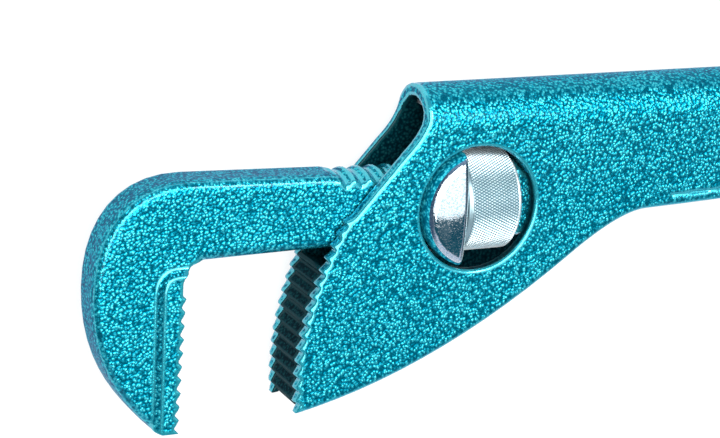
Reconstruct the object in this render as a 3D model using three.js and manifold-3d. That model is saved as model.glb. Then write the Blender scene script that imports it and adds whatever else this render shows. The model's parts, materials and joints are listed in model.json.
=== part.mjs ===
// Single-handed pipe wrench: a folded steel handle whose cheeks carry the heel jaw, a forged hook jaw
// with a flat threaded shank, and a knurled nut that bears on a half-round thrust block in two round windows.
// Modelled about the nut: +X runs along the shank towards the grip, +Y towards the fold of the handle,
// and Z across the cheeks. The finished group is set down on z = 0 with its box centred in X and Y.
import * as THREE from "three";
import { mergeVertices } from "three/addons/utils/BufferGeometryUtils.js";
import Module from "manifold-3d";

const wasm = await Module();
wasm.setup();

// ---- driving dimensions, millimetres --------------------------------------------------------------

const sheet = 3.3; // thickness of the folded handle sheet
const bodyWidth = 19.6; // across the two cheeks, outside
const foldTop = 31.1; // crown of the fold above the shank axis
const foldFront = -15; // front end of the fold
const gripEnd = 222; // rear end of the handle
const windowRadius = 16.3;
const edgeRound = 1.5; // rounding of the sheet's outer edges
const running = 0.3; // clearance between pieces that move past each other
const seated = 0.1; // clearance between pieces that are fixed to each other

const hookThickness = bodyWidth - 2 * sheet - 2 * running;
const threadRadius = 10.6; // over the crests
const threadDepth = 1.35;
const threadPitch = 4.2;
const threadPlay = 0.35; // radial play between the shank and the nut
const shankEnd = 29; // rear end of the shank
const shoulder = -35; // where the unthreaded arm ends
const armTop = 10.1; // upper edge of the arm at the shoulder
const hookTop = 11.1; // the arm's upper edge rises to this where the hook's curve begins
const armBottom = -8.8;
const jawTip = -53; // lowest point of the hook

const blockRadius = windowRadius - running; // the thrust block rocks in the front halves of both windows
const blockCrown = 14.4; // height of its domed faces above the mid-plane, at the window's centre
const blockFaceRadius = 60; // radius of those faces
const blockRounding = 3; // between a domed face and the block's round wall
const blockRear = -4.5; // flat face that the nut bears on
const slotPlay = 0.45; // around the shank in the block's slot
const nutFront = -4.1;
const nutRear = 11.2;
const nutRadius = 13.3;
const nutChamfer = 1.2;

const padWidth = 15.8; // the hook's toothed strip stands proud of the forging on both sides
const padSlope = (padWidth - hookThickness) / 2;
const hookToothPitch = 3.5;
const hookToothDepth = 1.25;
const hookTeeth = 11;
const hookRake = 0.34; // how far along from one tooth tip to the next the notch sits
const heelToothDepth = 1.5;
const heelTeeth = 16;
const heelRake = 0.2;

const lipStart = 54; // from here back the cheeks' lower edges are turned inwards
const lipSlot = 5.2; // gap left between the two turned edges
const creaseHeight = 2.7; // pressed line above the grip's lower edge
const hangHole = { x: 207, y: 13, radius: 4.6 };

const rivetRadius = 2.6;
const heelRivets = [[-38.5, -22], [-29.5, -33], [-39.5, -42]];
const springWidth = 8;
const springThickness = 0.9;
const springRivetX = -6;
const springRivetRadius = 2;

const innerHalf = bodyWidth / 2 - sheet;
const foldCentre = foldTop - bodyWidth / 2; // axis of the half-round fold
const reach = 80; // length of cutters that only have to run clear of the part

// ---- paint and metal ------------------------------------------------------------------------------

const paint = { color: 0x1aa7b8, roughness: 0.35, metalness: 0.25 };
const chrome = { color: 0xdfe3e6, roughness: 0.08, metalness: 1 };
const zinc = { color: 0xc3c9cb, roughness: 0.32, metalness: 1 };
const springSteel = { color: 0x9aa0a3, roughness: 0.3, metalness: 1 };

// ---- helpers --------------------------------------------------------------------------------------

function solid(geometry) {
  const bare = geometry.clone();
  bare.deleteAttribute("normal");
  bare.deleteAttribute("uv");
  const merged = mergeVertices(bare, 1e-4);
  const index = Uint32Array.from(merged.index.array);
  const build = () => new wasm.Manifold(new wasm.Mesh({
    numProp: 3,
    vertProperties: merged.attributes.position.array,
    triVerts: index,
  }));
  const made = build();
  if (made.volume() > 0) return made;
  for (let i = 0; i < index.length; i += 3) {
    [index[i + 1], index[i + 2]] = [index[i + 2], index[i + 1]];
  }
  return build();
}

function node(name, body, look) {
  const mesh = body.getMesh();
  const geometry = new THREE.BufferGeometry();
  geometry.setAttribute("position", new THREE.BufferAttribute(mesh.vertProperties, 3));
  geometry.setIndex(new THREE.BufferAttribute(mesh.triVerts, 1));
  geometry.computeVertexNormals();
  const made = new THREE.Mesh(geometry, new THREE.MeshStandardMaterial(look));
  made.name = name;
  return made;
}

// A side outline given thickness across Z, with its outer edges rounded by the bevel.
function plate(shape, width, bevel = 0, bevelSteps = 2, curveSegments = 14) {
  const geometry = new THREE.ExtrudeGeometry(shape, {
    depth: width - 2 * bevel,
    bevelEnabled: bevel > 0,
    bevelThickness: bevel,
    bevelSize: bevel,
    bevelOffset: -bevel,
    bevelSegments: bevelSteps,
    curveSegments,
  });
  geometry.translate(0, 0, bevel - width / 2);
  return solid(geometry);
}

// A cross-section in Z and Y run along X.
function bar(section, fromX, toX) {
  const geometry = new THREE.ExtrudeGeometry(section, {
    depth: toX - fromX, bevelEnabled: false, curveSegments: 16,
  });
  geometry.rotateY(Math.PI / 2);
  geometry.translate(fromX, 0, 0);
  return solid(geometry);
}

// A profile of [radius, x] points turned about the shank axis.
function turned(profile, segments = 48) {
  const points = profile.map(([r, x]) => new THREE.Vector2(r, x));
  const geometry = new THREE.LatheGeometry([...points, points[0]], segments);
  geometry.rotateZ(-Math.PI / 2);
  return solid(geometry);
}

// A profile of [radius, z] points turned about a line across the cheeks at (x, y).
function turnedAcross(profile, x, y, segments = 48) {
  const points = profile.map(([r, z]) => new THREE.Vector2(r, z));
  const geometry = new THREE.LatheGeometry([...points, points[0]], segments);
  geometry.rotateX(Math.PI / 2);
  geometry.translate(x, y, 0);
  return solid(geometry);
}

function polygon(points) {
  return new THREE.Shape(points.map(([x, y]) => new THREE.Vector2(x, y)));
}

// Arch section of the handle: straight cheeks closed by a half-round fold.
function arch(halfWidth) {
  const shape = new THREE.Shape();
  shape.moveTo(-halfWidth, -reach);
  shape.lineTo(halfWidth, -reach);
  shape.lineTo(halfWidth, foldCentre);
  shape.absarc(0, foldCentre, halfWidth, 0, Math.PI, false);
  shape.closePath();
  return shape;
}

// The saw-tooth edge of a jaw: tips lie on the path, and each notch is set in, to the path's left.
// The notch sits at a fraction, rake, of the way from one tip to the next.
function toothEdge(path, teeth, depth, rake) {
  const tips = Array.from({ length: teeth }, (_, k) => path.getPointAt(k / (teeth - 1)));
  return tips.flatMap((tip, k) => {
    if (k === teeth - 1) return [tip];
    const along = tips[k + 1].clone().sub(tip);
    const inward = new THREE.Vector2(-along.y, along.x).normalize();
    const notch = tip.clone().addScaledVector(along, rake).addScaledVector(inward, depth);
    return [tip, notch];
  });
}

// ---- thread shared by the shank and the nut ---------------------------------------------------------

const rowsPerPitch = 5;

// Right-handed rounded thread about X.
function threadAt(x, angle) {
  const wave = 0.5 + 0.5 * Math.cos((2 * Math.PI * x) / threadPitch - angle);
  return threadRadius - threadDepth * (1 - wave);
}

// A closed rod whose surface follows radiusAt, on the given ring of angles.
function ribbedRod(radiusAt, fromX, toX, angles) {
  const rows = Math.round(((toX - fromX) / threadPitch) * rowsPerPitch);
  const positions = [];
  for (let i = 0; i <= rows; i++) {
    const x = fromX + ((toX - fromX) * i) / rows;
    for (const angle of angles) {
      const r = radiusAt(x, angle);
      positions.push(x, r * Math.cos(angle), r * Math.sin(angle));
    }
  }
  const ring = angles.length;
  const faces = [];
  for (let i = 0; i < rows; i++) {
    for (let j = 0; j < ring; j++) {
      const a = i * ring + j;
      const b = i * ring + ((j + 1) % ring);
      faces.push(a, b, b + ring, a, b + ring, a + ring);
    }
  }
  const centre = positions.length / 3;
  positions.push(fromX, 0, 0, toX, 0, 0);
  for (let j = 0; j < ring; j++) {
    const k = (j + 1) % ring;
    faces.push(centre, k, j, centre + 1, rows * ring + j, rows * ring + k);
  }
  const geometry = new THREE.BufferGeometry();
  geometry.setAttribute("position", new THREE.Float32BufferAttribute(positions, 3));
  geometry.setIndex(faces);
  return solid(geometry);
}

// ---- tooth lines ------------------------------------------------------------------------------------

const heelToothTop = new THREE.Vector2(-36.8, -1);
const heelToothFoot = new THREE.Vector2(-48, -50.9);
const heelBulge = 4; // the heel's tooth line bows towards the hook by this much

const heelLine = new THREE.QuadraticBezierCurve(
  heelToothTop,
  new THREE.Vector2().addVectors(heelToothTop, heelToothFoot).multiplyScalar(0.5)
    .add(new THREE.Vector2(-2 * heelBulge, 0)),
  heelToothFoot,
);

const hookToothTop = new THREE.Vector2(-77.4, -17.8);
const hookLine = new THREE.LineCurve(
  new THREE.Vector2(-78.5, hookToothTop.y - hookToothPitch * (hookTeeth - 1)),
  hookToothTop,
);

// Cutter in front of the heel's teeth, which run across both cheeks and the block between them.
function heelMouth() {
  const edge = toothEdge(heelLine, heelTeeth, heelToothDepth, heelRake);
  const clear = 10;
  return new THREE.Shape([
    ...edge,
    new THREE.Vector2(heelToothFoot.x - clear, heelToothFoot.y),
    new THREE.Vector2(heelToothTop.x - clear, heelToothTop.y),
  ]);
}

// ---- handle -----------------------------------------------------------------------------------------

// Lower edge of the grip, from the throat behind the windows to the flared end.
const gripEdge = new THREE.CubicBezierCurve(
  new THREE.Vector2(50, -3.9),
  new THREE.Vector2(95, -2.4),
  new THREE.Vector2(150, 3.5),
  new THREE.Vector2(gripEnd - 14, -6),
);

function handleOutline() {
  const shape = new THREE.Shape();
  shape.moveTo(foldFront, foldTop);
  shape.lineTo(foldFront - 0.2, 26);
  shape.quadraticCurveTo(-15.4, 21, -21, 15.4);
  shape.lineTo(-34.4, 0);
  shape.lineTo(heelToothTop.x, heelToothTop.y);
  shape.quadraticCurveTo(heelLine.v1.x, heelLine.v1.y, heelLine.v2.x, heelLine.v2.y);
  shape.quadraticCurveTo(-9.6, -43.2, 28, -15);
  shape.quadraticCurveTo(42, -4.4, gripEdge.v0.x, gripEdge.v0.y);
  shape.bezierCurveTo(
    gripEdge.v1.x, gripEdge.v1.y, gripEdge.v2.x, gripEdge.v2.y, gripEdge.v3.x, gripEdge.v3.y,
  );
  shape.quadraticCurveTo(gripEnd, -7.5, gripEnd, 4);
  shape.lineTo(gripEnd, foldTop - 12);
  shape.quadraticCurveTo(gripEnd, foldTop, gripEnd - 12, foldTop);
  shape.closePath();
  return shape;
}

// A band that follows the grip's lower edge between two heights above it.
function gripBand(low, high, fromX) {
  const edge = gripEdge.getSpacedPoints(14).filter((p) => p.x > fromX);
  edge.push(new THREE.Vector2(gripEnd + 2, gripEdge.v3.y));
  const first = new THREE.Vector2(fromX, edge[0].y);
  const run = [first, ...edge];
  const lower = run.map((p) => new THREE.Vector2(p.x, p.y + low));
  const upper = run.map((p) => new THREE.Vector2(p.x, p.y + high)).reverse();
  return new THREE.Shape([...lower, ...upper]);
}

// The round windows, with a broken outer edge.
function windowCutter() {
  const half = bodyWidth / 2;
  const flare = 3;
  const breakEdge = 0.5;
  return turnedAcross([
    [0, -half - flare], [windowRadius + breakEdge + flare, -half - flare],
    [windowRadius, -half + breakEdge], [windowRadius, half - breakEdge],
    [windowRadius + breakEdge + flare, half + flare], [0, half + flare],
  ], 0, 0, 64);
}

function rivetBore(x, y) {
  const r = rivetRadius + seated;
  return turnedAcross([[0, -reach], [r, -reach], [r, reach], [0, reach]], x, y, 24);
}

// The hole for the spring's rivet, through the fold and the spring under it.
function springRivetBore() {
  const radius = springRivetRadius + seated;
  const geometry = new THREE.CylinderGeometry(radius, radius, 20, 24);
  geometry.translate(springRivetX, foldTop, 0);
  return solid(geometry);
}

function handleShell() {
  const channel = bar(arch(innerHalf), foldFront - reach, lipStart);
  const gripRoom = plate(gripBand(sheet, foldTop + 20, lipStart - 1), bodyWidth);
  const gripChannel = bar(arch(innerHalf), lipStart - 1, gripEnd + 5).intersect(gripRoom);
  const slot = bar(polygon([
    [-lipSlot / 2, -reach], [lipSlot / 2, -reach], [lipSlot / 2, 20], [-lipSlot / 2, 20],
  ]), lipStart - 1, gripEnd + 5);
  const creaseDepth = 0.6;
  const crease = plate(gripBand(creaseHeight, creaseHeight + 1, lipStart + 3), bodyWidth + 2)
    .subtract(plate(gripBand(-10, 20, lipStart), bodyWidth - 2 * creaseDepth));
  const hang = turnedAcross(
    [[0, -reach], [hangHole.radius, -reach], [hangHole.radius, reach], [0, reach]],
    hangHole.x, hangHole.y, 32,
  );
  let body = plate(handleOutline(), bodyWidth, edgeRound, 2, 13)
    .intersect(bar(arch(bodyWidth / 2), foldFront - reach, gripEnd + 5))
    .subtract(channel)
    .subtract(gripChannel)
    .subtract(slot)
    .subtract(crease)
    .subtract(hang)
    .subtract(windowCutter())
    .subtract(plate(heelMouth(), bodyWidth + 2))
    .subtract(springRivetBore());
  for (const [x, y] of heelRivets) body = body.subtract(rivetBore(x, y));
  return body;
}

// ---- heel jaw ---------------------------------------------------------------------------------------

function heelJaw() {
  const outline = new THREE.Shape();
  outline.moveTo(-41.9, -12.8);
  outline.lineTo(-48, -12.8);
  outline.lineTo(-50, -30);
  outline.lineTo(-50, -49.3);
  outline.lineTo(-46.4, -49.1);
  outline.quadraticCurveTo(-33, -46, -22, -41.6);
  outline.lineTo(-20, -28);
  outline.quadraticCurveTo(-21, -17.5, -30, -16);
  outline.closePath();
  const width = 2 * (innerHalf - seated);
  let body = plate(outline, width)
    .intersect(plate(handleOutline(), bodyWidth))
    .subtract(plate(heelMouth(), bodyWidth));
  for (const [x, y] of heelRivets) body = body.subtract(rivetBore(x, y));
  return body;
}

function heelRivet(x, y) {
  const half = bodyWidth / 2;
  const soft = 0.2;
  return turnedAcross([
    [0, -half], [rivetRadius - soft, -half], [rivetRadius, soft - half],
    [rivetRadius, half - soft], [rivetRadius - soft, half], [0, half],
  ], x, y, 24);
}

// ---- hook jaw ---------------------------------------------------------------------------------------

// Side outline of the forging. It runs on past the jaw face, which the mouth cutter then forms.
const mouthSide = -72.5;

function hookOutline() {
  const corner = 4.5;
  const back = -100.7; // furthest point of the hook from the nut
  const shape = new THREE.Shape();
  shape.moveTo(shoulder - corner, armTop);
  shape.lineTo(-76, hookTop);
  shape.bezierCurveTo(-92, hookTop + 0.4, back, 0.5, back, -16.5);
  shape.bezierCurveTo(back, -33.5, -93.2, -44.2, -84.6, jawTip + 0.9);
  shape.quadraticCurveTo(-83.7, jawTip, -81.5, jawTip);
  shape.lineTo(mouthSide, jawTip);
  shape.lineTo(mouthSide, -9.4);
  shape.lineTo(-44, armBottom);
  shape.lineTo(shoulder - corner, armBottom);
  shape.quadraticCurveTo(shoulder, armBottom, shoulder, armBottom + corner);
  shape.lineTo(shoulder, armTop - corner);
  shape.quadraticCurveTo(shoulder, armTop, shoulder - corner, armTop);
  return shape;
}

// Cutter that forms the jaw face: the teeth, the relief above them and the throat under the arm.
function hookMouth() {
  const shape = new THREE.Shape();
  const below = jawTip - 10;
  shape.moveTo(hookLine.v1.x, below);
  for (const p of toothEdge(hookLine, hookTeeth, hookToothDepth, hookRake)) shape.lineTo(p.x, p.y);
  shape.lineTo(-78.4, -17.2);
  shape.lineTo(-78.4, -14.2);
  shape.quadraticCurveTo(-78.2, -12.4, -77, -12);
  shape.quadraticCurveTo(-76.4, -9.5, mouthSide, -9.41);
  shape.lineTo(mouthSide + 4, -10.5);
  shape.lineTo(mouthSide + 4, below);
  shape.closePath();
  return shape;
}

// Outline of the proud strip that carries the teeth.
function padOutline() {
  const shape = new THREE.Shape();
  shape.moveTo(mouthSide, -10.5);
  shape.lineTo(-79, -10.5);
  shape.quadraticCurveTo(-84.8, -10.5, -84.8, -17);
  shape.lineTo(-84.8, -60);
  shape.lineTo(mouthSide, -60);
  shape.closePath();
  return shape;
}

function hookJaw() {
  const rounding = 2.4;
  const forging = plate(hookOutline(), hookThickness, rounding, 3, 10);
  const pad = plate(padOutline(), padWidth, padSlope, 1)
    .intersect(plate(hookOutline(), padWidth, 0, 1, 10));
  const mouth = plate(hookMouth(), padWidth + 2);

  const arc = Math.acos(0.8); // the round parts of the shank, above and below its flats
  const steps = 7;
  const crown = Array.from({ length: steps + 1 }, (_, k) => arc * ((2 * k) / steps - 1));
  const angles = [...crown, Math.PI / 2, ...crown.map((a) => a + Math.PI), 1.5 * Math.PI];
  const chamfer = 1.6; // at the shank's rear end
  const endTaper = (x) => Math.min(0, shankEnd - x - chamfer);
  const shank = ribbedRod((x, angle) => threadAt(x, angle) + endTaper(x), shoulder - 3, shankEnd, angles)
    .intersect(bar(polygon([
      [-hookThickness / 2, -20], [hookThickness / 2, -20],
      [hookThickness / 2, 20], [-hookThickness / 2, 20],
    ]), shoulder - 8, shankEnd + 2));
  return forging.add(pad).subtract(mouth).add(shank);
}

// ---- nut and thrust block ---------------------------------------------------------------------------

function adjustingNut() {
  const mouth = 1.4; // countersink of the threaded bore
  const drum = turned([
    [0, nutFront], [nutRadius - 0.7, nutFront], [nutRadius, nutFront + 0.7],
    [nutRadius, nutRear - nutChamfer], [nutRadius - nutChamfer, nutRear], [0, nutRear],
  ], 48);
  const ring = 32;
  const angles = Array.from({ length: ring }, (_, k) => (2 * Math.PI * k) / ring);
  const bored = ribbedRod((x, a) => threadAt(x, a) + threadPlay, nutFront - 2, nutRear + 2, angles);
  const flare = threadRadius + threadPlay + 0.2;
  const sink = (at, way) => turned(way > 0
    ? [[0, at - mouth], [flare - mouth, at - mouth], [flare + 1, at + 1], [0, at + 1]]
    : [[0, at - 1], [flare + 1, at - 1], [flare - mouth, at + mouth], [0, at + mouth]], ring);
  return drum.subtract(bored).subtract(sink(nutFront, -1)).subtract(sink(nutRear, 1));
}

// A half-round block with domed faces, and a slot shaped like the shank so that it cannot turn on it.
function thrustBlock() {
  const faceCentre = blockCrown - blockFaceRadius;
  const roundRadius = blockRadius - blockRounding; // where the rounding's centre sits
  const reachAngle = Math.asin(roundRadius / (blockFaceRadius - blockRounding));
  const roundCentre = faceCentre + (blockFaceRadius - blockRounding) * Math.cos(reachAngle);
  const half = [];
  const faceSteps = 4;
  for (let k = 0; k <= faceSteps; k++) {
    const a = (reachAngle * k) / faceSteps;
    half.push([blockFaceRadius * Math.sin(a), faceCentre + blockFaceRadius * Math.cos(a)]);
  }
  const roundSteps = 4;
  for (let k = 1; k <= roundSteps; k++) {
    const a = reachAngle + ((Math.PI / 2 - reachAngle) * k) / roundSteps;
    half.push([roundRadius + blockRounding * Math.sin(a), roundCentre + blockRounding * Math.cos(a)]);
  }
  const lower = half.map(([r, z]) => [r, -z]);
  const disc = turnedAcross([...lower, ...half.reverse()], 0, 0, 64);
  const slotHalfHeight = threadRadius + slotPlay;
  const slotHalf = hookThickness / 2 + slotPlay;
  const slot = bar(polygon([
    [-slotHalf, -slotHalfHeight], [slotHalf, -slotHalfHeight],
    [slotHalf, slotHalfHeight], [-slotHalf, slotHalfHeight],
  ]), -reach, reach);
  const rear = bar(polygon([[-reach, -reach], [reach, -reach], [reach, reach], [-reach, reach]]),
    blockRear, reach);
  return disc.subtract(rear).subtract(slot);
}

// ---- spring -----------------------------------------------------------------------------------------

// Middle of the strip where its edges just clear the round inside of the fold.
const springSeat = foldCentre + Math.sqrt(innerHalf ** 2 - (springWidth / 2) ** 2) - 0.6;

// The strip is riveted at its front, runs back under the fold and bends down behind the nut to the shank.
function leafSpring() {
  const line = new THREE.SplineCurve([
    [-12.5, springSeat - 0.2], [springRivetX, springSeat], [2, springSeat - 0.3], [9, springSeat - 3.5],
    [13.6, 17.7], [15.6, 13.1], [18.2, 12.3], [20.8, 13.9],
  ].map(([x, y]) => new THREE.Vector2(x, y)));
  const spans = 24;
  const centre = line.getSpacedPoints(spans);
  const side = (sign) => centre.map((p, k) => {
    const t = line.getTangentAt(k / spans);
    return new THREE.Vector2(-t.y, t.x).multiplyScalar((sign * springThickness) / 2).add(p);
  });
  const strip = plate(new THREE.Shape([...side(1), ...side(-1).reverse()]), springWidth);
  return strip.subtract(springRivetBore());
}

function springRivet() {
  const head = springSeat - springThickness; // upper side of its round head, under the strip
  const r = springRivetRadius;
  const points = [
    [0, head - 1.6], [r + 0.2, head - 1.4], [r + 1.2, head - 0.6], [r + 1.2, head],
    [r, head], [r, foldTop - 0.25], [r - 0.3, foldTop - 0.1], [0, foldTop - 0.05],
  ].map(([radius, y]) => new THREE.Vector2(radius, y));
  const geometry = new THREE.LatheGeometry([...points, points[0]], 24);
  geometry.translate(springRivetX, 0, 0);
  return solid(geometry);
}

// ---- assembly ---------------------------------------------------------------------------------------

const wrench = new THREE.Group();
wrench.add(node("handle_shell", handleShell(), paint));
wrench.add(node("heel_jaw", heelJaw(), paint));
heelRivets.forEach(([x, y], k) => wrench.add(node(`heel_jaw_rivet_${k + 1}`, heelRivet(x, y), paint)));
wrench.add(node("hook_jaw", hookJaw(), paint));
wrench.add(node("adjusting_nut", adjustingNut(), zinc));
wrench.add(node("thrust_block", thrustBlock(), chrome));
wrench.add(node("leaf_spring", leafSpring(), springSteel));
wrench.add(node("spring_rivet", springRivet(), paint));

const box = new THREE.Box3().setFromObject(wrench, true);
wrench.position.set(-(box.min.x + box.max.x) / 2, -(box.min.y + box.max.y) / 2, -box.min.z);

const root = new THREE.Group();
root.add(wrench);
export default root;
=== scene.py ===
"""Looks of a single-handed pipe wrench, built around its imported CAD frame."""
import json
import math

import bmesh
import bpy
import numpy as np
from mathutils import Matrix, Quaternion, Vector


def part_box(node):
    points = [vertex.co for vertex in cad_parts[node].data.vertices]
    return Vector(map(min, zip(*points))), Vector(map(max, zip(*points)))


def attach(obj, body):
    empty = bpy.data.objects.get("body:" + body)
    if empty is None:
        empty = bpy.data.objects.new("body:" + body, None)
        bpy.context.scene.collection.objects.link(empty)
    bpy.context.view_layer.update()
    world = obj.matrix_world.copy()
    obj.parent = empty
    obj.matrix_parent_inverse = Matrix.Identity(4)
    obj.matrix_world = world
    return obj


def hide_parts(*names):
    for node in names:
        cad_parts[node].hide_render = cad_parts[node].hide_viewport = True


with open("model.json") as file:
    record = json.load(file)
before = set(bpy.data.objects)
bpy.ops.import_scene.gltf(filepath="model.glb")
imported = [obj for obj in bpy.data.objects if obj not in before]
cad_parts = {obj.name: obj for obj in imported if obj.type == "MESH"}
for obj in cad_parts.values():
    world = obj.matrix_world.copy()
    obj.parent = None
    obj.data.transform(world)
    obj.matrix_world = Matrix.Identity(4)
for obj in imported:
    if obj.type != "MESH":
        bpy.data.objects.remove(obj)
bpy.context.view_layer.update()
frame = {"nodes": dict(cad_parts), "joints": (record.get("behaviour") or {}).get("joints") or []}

MM = 0.001
scene = bpy.context.scene
nodes = frame["nodes"]

# ---- places, from the frame --------------------------------------------------------------------
# The shank's axis is the nut's axis. The windows' centre lies on it, where the thrust block rocks.
nut_lo, nut_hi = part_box("adjusting_nut")
block_lo, block_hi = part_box("thrust_block")
shell_lo, shell_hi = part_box("handle_shell")
axis_y = (nut_lo.y + nut_hi.y) / 2
axis_z = (nut_lo.z + nut_hi.z) / 2
block_radius = (block_hi.y - block_lo.y) / 2
rock = [joint for joint in frame["joints"] if joint["name"] == "jaw_rock"][0]
window_x = rock["pos_m"][0]
near_cheek = shell_hi.z
far_cheek = shell_lo.z


def at(x, y, z):
    """A point in the frame from millimetres about the windows' centre on the mid-plane."""
    return Vector((window_x + x * MM, axis_y + y * MM, axis_z + z * MM))


def millimetres(point):
    """The reverse of at: x, y and z in millimetres about the windows' centre."""
    return (point.x - window_x) / MM, (point.y - axis_y) / MM, (point.z - axis_z) / MM


# ---- materials ---------------------------------------------------------------------------------


def colour_ramp(tree, value, stops, interpolation="LINEAR"):
    """Stops are (position, (red, green, blue))."""
    n = tree.nodes.new("ShaderNodeValToRGB")
    n.color_ramp.interpolation = interpolation
    while len(n.color_ramp.elements) < len(stops):
        n.color_ramp.elements.new(0.5)
    for element, (where, colour) in zip(n.color_ramp.elements, stops):
        element.position = where
        element.color = (*colour, 1.0)
    tree.links.new(value, n.inputs["Fac"])
    return n.outputs["Color"]


class Graph:
    """A material's node tree, with short ways to add and wire nodes."""

    def __init__(self, name):
        self.material = bpy.data.materials.new(name)
        self.material.use_nodes = True
        self.tree = self.material.node_tree
        self.tree.nodes.clear()
        self.out = self.add("ShaderNodeOutputMaterial")
        self.bsdf = self.add("ShaderNodeBsdfPrincipled")
        self.link(self.bsdf, "BSDF", self.out, "Surface")
        self.coords = self.add("ShaderNodeTexCoord")

    def add(self, kind):
        return self.tree.nodes.new(kind)

    def link(self, a, out, b, into):
        self.tree.links.new(a.outputs[out], b.inputs[into])

    def shader(self, **values):
        """Set constants on the shader's own sockets, with _ for a space in a socket's name."""
        for key, value in values.items():
            self.bsdf.inputs[key.replace("_", " ")].default_value = value

    def drive(self, name, output):
        """Wire an output to the shader's socket of that name."""
        self.tree.links.new(output, self.bsdf.inputs[name])

    def noise(self, scale, detail):
        """Noise of scale cells per metre, fixed to the object."""
        n = self.add("ShaderNodeTexNoise")
        n.inputs["Scale"].default_value = scale
        n.inputs["Detail"].default_value = detail
        self.link(self.coords, "Object", n, "Vector")
        return n

    def attribute(self, name):
        n = self.add("ShaderNodeAttribute")
        n.attribute_name = name
        return n.outputs["Fac"]

    def maths(self, operation, a, b, c=None):
        n = self.add("ShaderNodeMath")
        n.operation = operation
        for socket, value in zip(n.inputs, (a, b, c)):
            if isinstance(value, (int, float)):
                socket.default_value = value
            elif value is not None:
                self.tree.links.new(value, socket)
        return n.outputs[0]

    def ramp(self, value, stops, interpolation="LINEAR"):
        return colour_ramp(self.tree, value, stops, interpolation)

    def bump(self, height, strength, distance):
        """Relief from height. Its strength is a number or an output."""
        n = self.add("ShaderNodeBump")
        n.inputs["Distance"].default_value = distance
        self.tree.links.new(height, n.inputs["Height"])
        if isinstance(strength, float):
            n.inputs["Strength"].default_value = strength
        else:
            self.tree.links.new(strength, n.inputs["Strength"])
        self.drive("Normal", n.outputs["Normal"])


black, white = (0, 0, 0), (1, 1, 1)
pebbles_per_metre = 1250.0
pebble_height = 0.00024  # metres
pebble_warp = 0.0005  # metres
edge_shade = 0.80  # where rounded edges stand on the paint's ramp of colours


def hammered_paint(name="hammered_paint", depth=1.0, relief=1.0, gloss=1.0):
    """Hammertone enamel: pebbles about a millimetre across that catch the light, parted by creases.

    The mesh's edge attribute, 0 on flats and more over rounded edges, smooths the pebbles away. A
    depth under 1 darkens the colour into a painted shade, and over 1 lightens it into a painted
    reflection.
    """
    g = Graph(name)
    warp = g.noise(500.0, 2.0)
    warped = g.add("ShaderNodeMixRGB")
    warped.blend_type = "LINEAR_LIGHT"
    warped.inputs["Fac"].default_value = pebble_warp
    g.link(g.coords, "Object", warped, "Color1")
    g.link(warp, "Color", warped, "Color2")
    cells = g.add("ShaderNodeTexVoronoi")
    cells.feature = "SMOOTH_F1"
    cells.inputs["Scale"].default_value = pebbles_per_metre
    cells.inputs["Smoothness"].default_value = 0.22
    g.link(warped, "Color", cells, "Vector")
    fine = g.noise(2600.0, 2.0).outputs["Fac"]
    broad = g.noise(45.0, 3.0).outputs["Fac"]
    flat = g.ramp(g.attribute("edge"), [(0.006, white), (0.026, (0.08, 0.08, 0.08))], "EASE")
    # The colour follows the pebbles' height: lighter on their tops, a painted highlight, and darker
    # in the creases, a painted shade, with a broad random tone over it.
    dome = g.maths("SUBTRACT", 1.0, cells.outputs["Distance"])
    height = g.maths("ADD", dome, g.maths("MULTIPLY", fine, 0.25))
    shade = g.maths("ADD", g.maths("MULTIPLY", height, 0.9), g.maths("MULTIPLY", broad, 0.12))
    above = g.maths("MULTIPLY", g.maths("SUBTRACT", shade, edge_shade), flat)
    shade = g.maths("ADD", above, edge_shade)
    colour = g.ramp(shade, [
        (0.50, (0.0, 0.12 * depth, 0.18 * depth)),
        (0.72, (0.010 * depth, 0.33 * depth, 0.43 * depth)),
        (0.95, (0.090 * depth, 0.61 * depth, 0.63 * depth)),
    ])
    g.drive("Base Color", colour)
    matt = g.maths("MULTIPLY_ADD", flat, 0.10, 0.12 + 0.35 * (1 - gloss))
    g.drive("Roughness", g.maths("ADD", matt, g.maths("MULTIPLY", fine, 0.12)))
    g.bump(height, g.maths("MULTIPLY", flat, relief), pebble_height)
    # The clear coat shows on the rounded edges and almost vanishes on the pebbled flats.
    g.drive("Coat Weight", g.maths("MULTIPLY_ADD", flat, -0.96 * gloss, 0.99 * gloss))
    g.shader(
        Metallic=0.7 * gloss,
        Coat_Roughness=0.06,
        Specular_IOR_Level=0.2 * gloss,
        Specular_Tint=(0.0, 0.35, 0.62, 1.0),
    )
    return g.material


def bright_zinc():
    """Zinc plate whose knurl is painted dark at its roots, a painted shade, by a mesh attribute."""
    g = Graph("bright_zinc")
    grain = g.noise(900.0, 3.0).outputs["Fac"]
    stain = g.noise(160.0, 3.0).outputs["Fac"]
    plate = g.ramp(stain, [
        (0.30, (0.70, 0.79, 0.81)),
        (0.55, (0.80, 0.88, 0.89)),
        (0.75, (0.88, 0.94, 0.94)),
    ])
    shade = g.add("ShaderNodeMixRGB")
    # The painted shade colour of the knurl's roots and, in part, of the front ring.
    shade.inputs["Color1"].default_value = (0.03, 0.15, 0.19, 1.0)
    lit = g.ramp(g.attribute("lit_share"), [(0.08, black), (0.66, white)])
    g.tree.links.new(lit, shade.inputs["Fac"])
    g.tree.links.new(plate, shade.inputs["Color2"])
    g.drive("Base Color", shade.outputs["Color"])
    g.drive("Roughness", g.maths("ADD", 0.22, g.maths("MULTIPLY", grain, 0.18)))
    g.bump(grain, 0.25, 0.00005)
    g.shader(Metallic=0.65)
    return g.material


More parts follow.
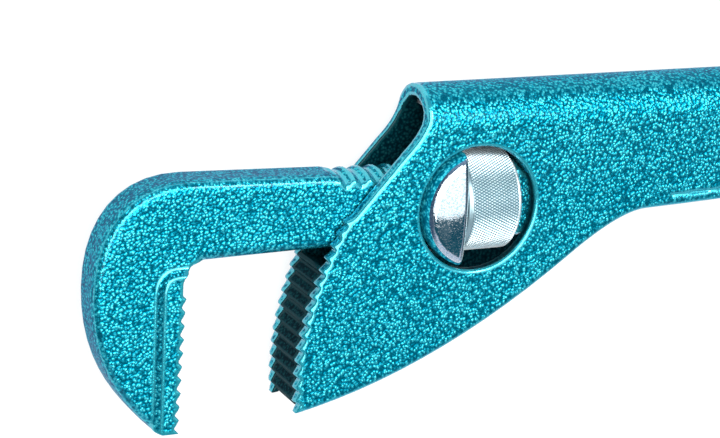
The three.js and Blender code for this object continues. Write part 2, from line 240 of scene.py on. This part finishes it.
def polished_chrome():
    """A mirror with fine pits that dull it in specks, over a slow waviness."""
    g = Graph("polished_chrome")
    pits = g.noise(2300.0, 2.0).outputs["Fac"]
    wave = g.noise(240.0, 2.0).outputs["Fac"]
    g.drive("Base Color", g.ramp(pits, [(0.38, (0.50, 0.70, 0.78)), (0.52, (0.84, 0.88, 0.91))]))
    speckle = g.ramp(pits, [(0.54, black), (0.62, white)])
    g.drive("Roughness", g.maths("MULTIPLY_ADD", speckle, 0.17, 0.05))
    g.bump(g.maths("ADD", wave, g.maths("MULTIPLY", pits, 0.25)), 0.4, 0.0001)
    g.shader(Metallic=1.0)
    return g.material


def spring_steel():
    """Grey rolled strip with a cloudy grain."""
    g = Graph("spring_steel")
    grain = g.noise(700.0, 4.0).outputs["Fac"]
    g.drive("Base Color", g.ramp(grain, [(0.3, (0.30, 0.31, 0.33)), (0.7, (0.62, 0.64, 0.66))]))
    g.drive("Roughness", g.maths("ADD", 0.2, g.maths("MULTIPLY", grain, 0.2)))
    g.shader(Metallic=1.0)
    return g.material


paint = hammered_paint()
# A dark enamel for the shell's inner side and the lower rear of its windows' walls, a painted shade.
inner_shade_paint = hammered_paint("inner_shade_paint", depth=0.09, relief=0.1, gloss=0.2)
# A dark enamel for the heel block, a painted shade over its teeth.
heel_shade_paint = hammered_paint("heel_shade_paint", depth=0.09, relief=0.15, gloss=0.1)
# A brighter teal enamel for a band on the thrust block's wall, a painted reflection of the cheek's
# paint.
rim_reflection_paint = hammered_paint("rim_reflection_paint", depth=1.2, relief=0.0, gloss=0.3)
zinc = bright_zinc()
chrome = polished_chrome()
steel = spring_steel()

# ---- pieces ------------------------------------------------------------------------------------


def coat(obj, material):
    """Give the whole object one material."""
    obj.data.materials.clear()
    obj.data.materials.append(material)
    for polygon in obj.data.polygons:
        polygon.material_index = 0


def piece(name, mesh, material, body, stands_for):
    """A visible piece that rides on a body in place of the CAD nodes it stands for."""
    obj = bpy.data.objects.new(name, mesh)
    scene.collection.objects.link(obj)
    coat(obj, material)
    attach(obj, body)
    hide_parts(*stands_for)
    return obj


def apply_modifiers(obj):
    """Turn the object's modifiers into its mesh."""
    bpy.context.view_layer.update()
    graph = bpy.context.evaluated_depsgraph_get()
    made = bpy.data.meshes.new_from_object(obj.evaluated_get(graph))
    obj.modifiers.clear()
    obj.data = made


def smooth(mesh):
    for polygon in mesh.polygons:
        polygon.use_smooth = True
    return mesh


def mark_edges(mesh, rounds):
    """Store on each vertex, as the attribute edge, how much the surface turns around it."""
    count = len(mesh.vertices)
    normals = np.empty(count * 3)
    mesh.vertices.foreach_get("normal", normals)
    mean = normals.reshape(count, 3)
    pairs = np.empty(len(mesh.edges) * 2, dtype=np.int64)
    mesh.edges.foreach_get("vertices", pairs)
    a, b = pairs.reshape(-1, 2).T
    share = np.bincount(a, minlength=count) + np.bincount(b, minlength=count) + 1.0
    for _ in range(rounds):
        total = mean.copy()
        for axis in range(3):
            total[:, axis] += np.bincount(a, mean[b, axis], count)
            total[:, axis] += np.bincount(b, mean[a, axis], count)
        mean = total / share[:, None]
    turn = 1.0 - np.linalg.norm(mean, axis=1)
    layer = mesh.attributes.new("edge", "FLOAT", "POINT")
    layer.data.foreach_set("value", turn)
    return mesh


most_triangles = 185_000  # for one remeshed piece
weld = 1e-7  # metres, under which two corners of the CAD mesh are one
pressing_grain, forging_grain = 0.42, 0.32  # millimetres, the cells of the remeshed pieces


def softened(node, grain, rounds, spread, extra=()):
    """The CAD solid, with extra closed lumps added, as a fine even mesh with rounded edges.

    More rounds of smoothing round its edges further, and more spread widens the attribute edge
    around them.
    """
    bm = bmesh.new()
    bm.from_mesh(nodes[node].data)
    for lump in extra:
        bm.from_mesh(lump)
    bmesh.ops.remove_doubles(bm, verts=bm.verts, dist=weld)
    mesh = bpy.data.meshes.new(node + "_work")
    bm.to_mesh(mesh)
    bm.free()
    obj = bpy.data.objects.new(node + "_work", mesh)
    scene.collection.objects.link(obj)
    grid = obj.modifiers.new("grid", "REMESH")
    grid.mode = "VOXEL"
    grid.voxel_size = grain * MM
    relax = obj.modifiers.new("relax", "SMOOTH")
    relax.factor = 0.5
    relax.iterations = rounds
    apply_modifiers(obj)
    mark_edges(smooth(obj.data), spread)
    obj.data.calc_loop_triangles()
    triangles = len(obj.data.loop_triangles)
    if triangles > most_triangles:
        thin = obj.modifiers.new("thin", "DECIMATE")
        thin.ratio = most_triangles / triangles
        apply_modifiers(obj)
    made = obj.data
    bpy.data.objects.remove(obj)
    return smooth(made)


def grid_mesh(name, rows, wrap=True, diagonals=None):
    """Rows of points joined into a skin.

    With wrap each row closes on itself, and the last row joins the first. diagonals says which way
    a cell is split into triangles, or None to leave it whole.
    """
    verts = [p for row in rows for p in row]
    n = len(rows[0])
    faces = []
    for i in range(len(rows) if wrap else len(rows) - 1):
        k = (i + 1) % len(rows)
        for j in range(n if wrap else n - 1):
            m = (j + 1) % n
            a, b, c, d = i * n + j, i * n + m, k * n + m, k * n + j
            split = diagonals(i, j) if diagonals else None
            if split is None:
                faces.append((a, b, c, d))
            elif split:
                faces += [(a, b, c), (a, c, d)]
            else:
                faces += [(a, b, d), (b, c, d)]
    mesh = bpy.data.meshes.new(name)
    mesh.from_pydata([tuple(v) for v in verts], [], faces)
    mesh.update()
    return mesh


def outward(mesh):
    """Turn all of a closed mesh's faces outwards."""
    bm = bmesh.new()
    bm.from_mesh(mesh)
    bmesh.ops.recalc_face_normals(bm, faces=bm.faces)
    bm.to_mesh(mesh)
    bm.free()
    return mesh


# The nut: a diamond knurl between a smooth front ring and a rear chamfer, on a threaded bore.
# All its lengths are in millimetres.
knurls = 108
knurl_lead = 1.4
knurl_depth = 0.36
front_ring = 1.35
front_step = 0.55  # how far the front ring lies below the knurl's crests
rear_chamfer = 1.3
thread_radius, thread_depth, thread_pitch = 10.95, 1.35, 4.2
thread_rows = 20
bore_mouth = 1.2
mouth_relief = 0.3  # how far the bore's two rims stand back from the thread
ring_lit_share, chamfer_lit_share = 0.25, 1.0  # the attribute that paints shade before and behind the knurl: some painted shade on the front ring, none on the chamfer


def nut_mesh():
    front = (nut_lo.x - window_x) / MM
    rear = (nut_hi.x - window_x) / MM
    radius = (nut_hi.z - nut_lo.z) / 2 / MM
    root = radius - knurl_depth
    columns = 2 * knurls
    first, last = front + front_ring, rear - rear_chamfer
    steps = round((last - first) / (knurl_lead / 2))
    step = (last - first) / steps
    ring_radius = radius - front_step
    rings = []
    for x, r in (
        (front, ring_radius - 0.45),
        (front + 0.12, ring_radius - 0.13),
        (front + 0.45, ring_radius),
        (first - 0.3, ring_radius),
        (first - 0.05, root),
    ):
        rings.append([(x, r)] * columns)
    start = len(rings)
    for i in range(steps + 1):
        x = first + i * step
        rings.append([(x, root if (i + j) % 2 == 0 else radius) for j in range(columns)])
    stop = len(rings) - 1
    for x, r in (
        (last + 0.06, root),
        (last + 0.2, radius - 0.12),
        (rear - 0.95, radius - 0.25),
        (rear - 0.2, radius - 1.1),
        (rear, radius - 1.35),
    ):
        rings.append([(x, r)] * columns)
    rings.append([(rear, thread_radius + mouth_relief)] * columns)
    for i in range(thread_rows + 1):
        x = rear - bore_mouth - (rear - front - 2 * bore_mouth) * i / thread_rows
        ring = []
        for j in range(columns):
            phase = 2 * math.pi * (x / thread_pitch - j / columns)
            ring.append((x, thread_radius - thread_depth * (0.5 - 0.5 * math.cos(phase))))
        rings.append(ring)
    rings.append([(front, thread_radius + mouth_relief)] * columns)
    rows_of_points = []
    for ring in rings:
        row = []
        for j, (x, r) in enumerate(ring):
            turn = 2 * math.pi * j / columns
            row.append(at(x, r * math.cos(turn), r * math.sin(turn)))
        rows_of_points.append(row)

    def from_root_to_root(i, j):
        return (i - start + j) % 2 == 0 if start <= i < stop else None

    mesh = outward(grid_mesh("nut", rows_of_points, diagonals=from_root_to_root))
    slack = 0.001 * MM
    knurl_start, knurl_end = at(first, 0, 0).x - slack, at(last, 0, 0).x + slack
    for polygon in mesh.polygons:
        triangle = len(polygon.vertices) == 3
        polygon.use_smooth = not (triangle and knurl_start <= polygon.center.x <= knurl_end)
    # 1 at the knurl's crests and 0 at its roots, where the roots get painted shade; the front ring is
    # given some painted shade.
    layer = mesh.attributes.new("lit_share", "FLOAT", "POINT")
    for v, value in zip(mesh.vertices, layer.data):
        if v.co.x < knurl_start:
            value.value = ring_lit_share
        elif v.co.x > knurl_end:
            value.value = chamfer_lit_share
        else:
            height = math.hypot(v.co.y - axis_y, v.co.z - axis_z) / MM - root
            value.value = height / knurl_depth
    return mesh


# The thrust block: half of a lens-faced disc with rounded edges, slotted for the shank.
face_radius = 60.0
wall_rounding = 3.0
rim_rounding = 2.0
core_half = 6.0  # the rear rim's rounding fades out inside this distance from the mid-plane
face_steps, corner_steps, wall_steps = 24, 16, 6
block_columns = 97
block_weld = 2e-6  # metres, which joins the points of the first and last rows into one each


def block_mesh():
    radius = block_radius / MM
    rear = (block_hi.x - window_x) / MM
    centre = (block_hi.z - axis_z) / MM - math.sqrt(face_radius ** 2 - rear ** 2)
    inner = radius - wall_rounding
    lean = math.asin(inner / (face_radius - wall_rounding))
    round_z = centre + (face_radius - wall_rounding) * math.cos(lean)
    profile = []
    first = math.asin(-rear / face_radius)
    for k in range(face_steps + 1):
        a = first + (lean - first) * k / face_steps
        profile.append((face_radius * math.sin(a), centre + face_radius * math.cos(a)))
    for k in range(1, corner_steps + 1):
        a = lean + (math.pi / 2 - lean) * k / corner_steps
        profile.append((inner + wall_rounding * math.sin(a), round_z + wall_rounding * math.cos(a)))
    for k in range(1, wall_steps):
        profile.append((radius, round_z * (1 - k / wall_steps)))
    mirrored = [(r, -z) for r, z in reversed(profile)]
    rows = []
    for r, z in profile + [(radius, 0.0)] + mirrored:
        widest = math.acos(min(1.0, -rear / r))
        row = []
        for j in range(block_columns):
            turn = widest * math.sin(math.pi / 2 * (2 * j / (block_columns - 1) - 1))
            x, y = -r * math.cos(turn), r * math.sin(turn)
            t = max(0.0, min(1.0, (x - rear + rim_rounding) / rim_rounding))
            drop = rim_rounding * (1 - math.sqrt(1 - t * t))
            side = 1 if z >= 0 else -1
            keep = min(1.0, abs(z) / core_half)
            row.append(at(x, y, z - side * drop * keep))
        rows.append(row)
    mesh = grid_mesh("block", rows, wrap=False)
    bm = bmesh.new()
    bm.from_mesh(mesh)
    bmesh.ops.remove_doubles(bm, verts=bm.verts, dist=block_weld)
    rim = [e for e in bm.edges if e.is_boundary]
    bmesh.ops.holes_fill(bm, edges=rim, sides=0)
    bmesh.ops.recalc_face_normals(bm, faces=bm.faces)
    bm.to_mesh(mesh)
    bm.free()
    return smooth(mesh)


def box_mesh(name, low, high):
    """A block between two corners."""
    bm = bmesh.new()
    bmesh.ops.create_cube(bm, size=1.0)
    for v in bm.verts:
        v.co = Vector([lo + (hi - lo) * (c + 0.5) for lo, hi, c in zip(low, high, v.co)])
    mesh = bpy.data.meshes.new(name)
    bm.to_mesh(mesh)
    bm.free()
    return mesh


def cut(mesh, cutter_mesh):
    """mesh with the cutter's volume taken away."""
    body = bpy.data.objects.new("cut_work", mesh)
    tool = bpy.data.objects.new("cutter_work", cutter_mesh)
    scene.collection.objects.link(body)
    scene.collection.objects.link(tool)
    step = body.modifiers.new("cut", "BOOLEAN")
    step.operation = "DIFFERENCE"
    step.solver = "EXACT"
    step.object = tool
    apply_modifiers(body)
    made = body.data
    bpy.data.objects.remove(body)
    bpy.data.objects.remove(tool)
    return made


def turned(name, profile, centre, axis, columns=48):
    """A closed profile of (radius, along) in millimetres, turned about a line along Y or Z.

    The line goes through centre: its x and y for Z, its x and z for Y.
    """
    bm = bmesh.new()
    rings = []
    for r, along in profile:
        ring = []
        for j in range(columns):
            a = 2 * math.pi * j / columns
            u, v = centre[0] + r * math.cos(a), centre[1] + r * math.sin(a)
            ring.append(bm.verts.new(at(u, v, along) if axis == "Z" else at(u, along, v)))
        rings.append(ring)
    for lower, upper in zip(rings, rings[1:]):
        for j in range(columns):
            k = (j + 1) % columns
            bm.faces.new((lower[j], lower[k], upper[k], upper[j]))
    bm.faces.new(list(reversed(rings[0])))
    bm.faces.new(rings[-1])
    bmesh.ops.recalc_face_normals(bm, faces=bm.faces)
    mesh = bpy.data.meshes.new(name)
    bm.to_mesh(mesh)
    bm.free()
    return mesh


# The handle: the pressed sheet, with a skin of paint over the flush ends of its rivets.
sheet = 3.3
half_width = (near_cheek - far_cheek) / 2 / MM
fold_top = (shell_hi.y - axis_y) / MM
fold_centre = fold_top - half_width
paint_skin = 0.6  # the heel rivets end this far under the painted cheek
plug_radius, crown_plug_radius = 2.8, 2.3
rivet_places = []
for k in (1, 2, 3):
    lo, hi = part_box(f"heel_jaw_rivet_{k}")
    rivet_places.append(millimetres((lo + hi) / 2)[:2])
spring_lo, spring_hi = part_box("spring_rivet")
spring_rivet_x = millimetres((spring_lo + spring_hi) / 2)[0]

plugs = []
for centre in rivet_places:
    for side in (-1, 1):
        ends = sorted((side * half_width, side * (half_width - paint_skin)))
        plugs.append(turned("plug", [(plug_radius, end) for end in ends], centre, "Z"))
crown_heights = (fold_top - 1.4, fold_top - 0.6, fold_top)
crown_profile = [(crown_plug_radius, height) for height in crown_heights]
crown_plug = turned("plug", crown_profile, (spring_rivet_x, 0), "Y")
for v in crown_plug.vertices:
    _, y, z = millimetres(v.co)
    surface = fold_centre + math.sqrt(half_width ** 2 - z * z)
    v.co.y = axis_y + min(y, surface) * MM
plugs.append(crown_plug)

shell_mesh = softened("handle_shell", pressing_grain, rounds=3, spread=3, extra=plugs)
shell = piece("pressed_handle", shell_mesh, paint, "handle", ["handle_shell"])
# The second material is the dark enamel of the painted shade.
shell.data.materials.append(inner_shade_paint)

window_radius = 16.3
margin = 0.35  # so that the smoothed mesh's faces fall on the right side
painted_rim = 0.75  # the bright paint reaches this far into a window, and the painted shade begins beyond it
shadow_slope = 0.6  # the line across a window's wall below which it is painted dark, a painted shadow


def in_painted_shade(point):
    """Is this point of the shell under painted shade: on its inner side, or on the lower rear part of
    a window's wall?
    """
    x, y, z = millimetres(point)
    depth = abs(z) if y < fold_centre else math.hypot(z, y - fold_centre)
    if depth < half_width - sheet + margin:
        return True
    in_window = math.hypot(x, y) < window_radius + margin
    return in_window and depth < half_width - painted_rim and shadow_slope * x > y


# These faces are painted dark, a painted shade where the inside and the windows' rear walls lie in
# shadow.
for polygon in shell.data.polygons:
    if in_painted_shade(polygon.center):
        polygon.material_index = 1

hook_mesh = softened("hook_jaw", forging_grain, rounds=4, spread=6)
piece("hook_forging", hook_mesh, paint, "hook", ["hook_jaw"])
piece("knurled_nut", nut_mesh(), zinc, "nut", ["adjusting_nut"])

# The thrust block is cut through along the shank by a slot a little larger than the shank.
slot_half, slot_height, far = 6.6, 11.1, 40.0
slot = box_mesh("slot", at(-far, -slot_height, -slot_half), at(far, slot_height, slot_half))
block = piece(
    "half_round_block", cut(block_mesh(), slot), chrome, "thrust_block", ["thrust_block"],
)
# A band of bright teal enamel runs round the block's wall, clear of its rear face and its slot: a
# painted reflection of the cheek's paint in the chrome.
block.data.materials.append(rim_reflection_paint)
wall_slope = 0.82  # how nearly a face of the wall stands at right angles to the mid-plane
for polygon in block.data.polygons:
    on_wall = math.hypot(polygon.normal.x, polygon.normal.y) > wall_slope
    faces_rear = polygon.normal.x >= 0.5
    if on_wall and not faces_rear and abs(polygon.center.z - axis_z) > core_half * MM:
        polygon.material_index = 1

pin_radius, pin_chamfer = 2.6, 0.3
for k, centre in enumerate(rivet_places, 1):
    end = half_width - paint_skin
    pin_profile = [
        (pin_radius - pin_chamfer, -end),
        (pin_radius, pin_chamfer - end),
        (pin_radius, end - pin_chamfer),
        (pin_radius - pin_chamfer, end),
    ]
    pin = smooth(turned("rivet", pin_profile, centre, "Z"))
    piece(f"heel_rivet_{k}", pin, steel, "handle", [f"heel_jaw_rivet_{k}"])
heel_mesh = softened("heel_jaw", forging_grain, rounds=2, spread=3)
# The heel block's teeth are painted dark all over, a painted shade.
piece("heel_block", heel_mesh, heel_shade_paint, "handle", ["heel_jaw"])
coat(nodes["spring_rivet"], paint)
coat(nodes["leaf_spring"], steel)

# ---- camera ------------------------------------------------------------------------------------

# The view was fitted to the outlines in the photograph: its angles in degrees, its distance along the
# view, and where the near window's centre falls on the sensor, from the sensor's middle.
view_angles = (25.279, 16.305, 3.073)
view_distance = 609.03 * MM
sensor_mm = 36.0
lens_mm = 120.0
window_right_mm = 5.9315
window_up_mm = 0.5055

yaw, pitch, roll = (math.radians(angle) for angle in view_angles)
right = Vector((math.cos(yaw), 0, math.sin(yaw)))
up = Vector((math.sin(yaw) * math.sin(pitch), math.cos(pitch), -math.cos(yaw) * math.sin(pitch)))
back = right.cross(up)
tilted_right = right * math.cos(roll) + up * math.sin(roll)
tilted_up = -right * math.sin(roll) + up * math.cos(roll)
aside = tilted_right * (window_right_mm / lens_mm)
above = tilted_up * (window_up_mm / lens_mm)
near_window = Vector((window_x, axis_y, near_cheek))

camera = bpy.data.objects.new("camera", bpy.data.cameras.new("camera"))
scene.collection.objects.link(camera)
camera.data.sensor_width = sensor_mm
camera.data.lens = lens_mm
camera.data.clip_start = 0.05
camera.data.clip_end = 20.0
camera_pose = Matrix((tilted_right, tilted_up, back)).transposed().to_4x4()
camera_pose.translation = near_window - (aside + above - back) * view_distance
camera.matrix_world = camera_pose
scene.camera = camera

# ---- stage -------------------------------------------------------------------------------------


def area(name, where, target, size, power, turn=0):
    """A rectangular lamp aimed at target and turned about its own axis, in degrees."""
    lamp = bpy.data.lights.new(name, "AREA")
    lamp.shape = "RECTANGLE"
    lamp.size, lamp.size_y = size
    lamp.energy = power
    obj = bpy.data.objects.new(name, lamp)
    scene.collection.objects.link(obj)
    obj.location = where
    obj.rotation_mode = "QUATERNION"
    aim = (Vector(target) - Vector(where)).to_track_quat("-Z", "Y")
    obj.rotation_quaternion = aim @ Quaternion((0, 0, 1), math.radians(turn))


# A large softbox stands askew over the hook's side, a narrow strip brightens the rounded edges, and
# a wide faint softbox hangs overhead beyond the fold.
key_x = window_x - 0.48
area("key_softbox", (key_x, 0.65, 1.6), (key_x, 0.65, 0), (1.92, 1.70), 52.0, turn=45)
area("edge_strip", (0.70, 0.80, 1.62), (-0.10, 0, 0), (1.1, 0.34), 18.0, turn=-40)
area("overhead_softbox", (-0.4, 0.66, 1.8), (-0.4, 0.66, 0), (3.6, 2.4), 31.0)


def pale_floor(half):
    """A square floor that glows enough to stay white under every pose."""
    mesh = bpy.data.meshes.new("floor")
    corners = [(-half, -half, 0), (half, -half, 0), (half, half, 0), (-half, half, 0)]
    mesh.from_pydata(corners, [], [(0, 1, 2, 3)])
    obj = bpy.data.objects.new("floor", mesh)
    scene.collection.objects.link(obj)
    g = Graph("pale_floor")
    g.shader(
        Base_Color=(0.16, 0.16, 0.16, 1),
        Roughness=0.7,
        Emission_Color=(1, 1, 1, 1),
        Emission_Strength=0.85,
    )
    mesh.materials.append(g.material)
    return obj


floor = pale_floor(4.0)


def studio_world():
    """Pale low down in front of the wrench and dark above, bluish behind it, dim at both sides."""
    world = bpy.data.worlds.new("studio")
    scene.world = world
    world.use_nodes = True
    tree = world.node_tree
    background = tree.nodes["Background"]
    coords = tree.nodes.new("ShaderNodeTexCoord").outputs["Generated"]
    split = tree.nodes.new("ShaderNodeSeparateXYZ")
    tree.links.new(coords, split.inputs[0])
    x, y, z = (split.outputs[axis] for axis in "XYZ")

    # Long soft streaks break up the line between pale and dark.
    squash = tree.nodes.new("ShaderNodeVectorMath")
    squash.operation = "MULTIPLY"
    squash.inputs[1].default_value = (1.0, 0.15, 0.15)
    tree.links.new(coords, squash.inputs[0])
    streaks = tree.nodes.new("ShaderNodeTexNoise")
    streaks.inputs["Scale"].default_value = 9.0
    streaks.inputs["Detail"].default_value = 1.0
    tree.links.new(squash.outputs[0], streaks.inputs["Vector"])
    streaked = tree.nodes.new("ShaderNodeMath")
    streaked.operation = "MULTIPLY_ADD"
    streaked.inputs[1].default_value = -0.45
    tree.links.new(streaks.outputs["Fac"], streaked.inputs[0])
    tree.links.new(z, streaked.inputs[2])
    leftward = tree.nodes.new("ShaderNodeMath")
    leftward.operation = "MULTIPLY"
    leftward.inputs[1].default_value = -1.0
    tree.links.new(x, leftward.inputs[0])

    front = colour_ramp(tree, streaked.outputs[0], [
        (0.0, (0.75, 0.80, 0.95)),
        (0.42, (0.70, 0.76, 0.92)),
        (0.48, (0.03, 0.13, 0.18)),
        (0.66, (0.02, 0.10, 0.15)),
        (0.80, (0.14, 0.22, 0.27)),
    ])
    rear = colour_ramp(tree, z, [(0.0, (0.22, 0.38, 0.62)), (0.6, (0.25, 0.32, 0.42))])
    left = colour_ramp(tree, z, [(0.0, (0.05, 0.12, 0.22)), (0.75, (0.10, 0.14, 0.20))])
    right_side = colour_ramp(tree, z, [(0.0, (0.02, 0.07, 0.10)), (0.75, (0.05, 0.10, 0.14))])
    rearness = colour_ramp(tree, y, [(0.0, black), (0.25, white)])
    leftness = colour_ramp(tree, leftward.outputs[0], [(0.40, black), (0.65, white)])
    rightness = colour_ramp(tree, x, [(0.62, black), (0.85, white)])
    mixed = front
    for amount, colour in ((rearness, rear), (leftness, left), (rightness, right_side)):
        mix = tree.nodes.new("ShaderNodeMixRGB")
        tree.links.new(amount, mix.inputs["Fac"])
        tree.links.new(mixed, mix.inputs["Color1"])
        tree.links.new(colour, mix.inputs["Color2"])
        mixed = mix.outputs["Color"]
    tree.links.new(mixed, background.inputs["Color"])
    background.inputs["Strength"].default_value = 0.8


studio_world()
scene.view_settings.view_transform = "Standard"
